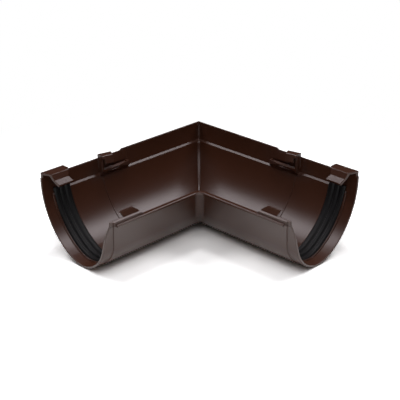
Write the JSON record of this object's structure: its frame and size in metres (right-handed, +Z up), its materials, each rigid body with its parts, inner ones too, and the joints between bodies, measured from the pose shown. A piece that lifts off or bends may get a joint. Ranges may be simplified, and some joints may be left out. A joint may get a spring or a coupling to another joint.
{
  "type": "internal gutter angle",
  "caption": "Moulded 90 degree internal corner for a deep-flow rainwater gutter, with a snap socket and ribbed rubber seal at each end.",
  "frame": {"origin": "middle of the part's outline on the surface that it stands on", "axes": "+Z up out of the trough; the left arm runs towards -X and the right arm towards -Y, the high back walls face +Y and +X"},
  "size_m": [0.2618, 0.2618, 0.0968],
  "materials": {
    "brown_pvc": "injection moulded, satin to semi-gloss",
    "black_rubber": "extruded EPDM, dull"
  },
  "bodies": {
    "root": {"gutter_angle": "brown_pvc", "seal_left": "black_rubber", "seal_right": "black_rubber"}
  },
  "joints": []
}
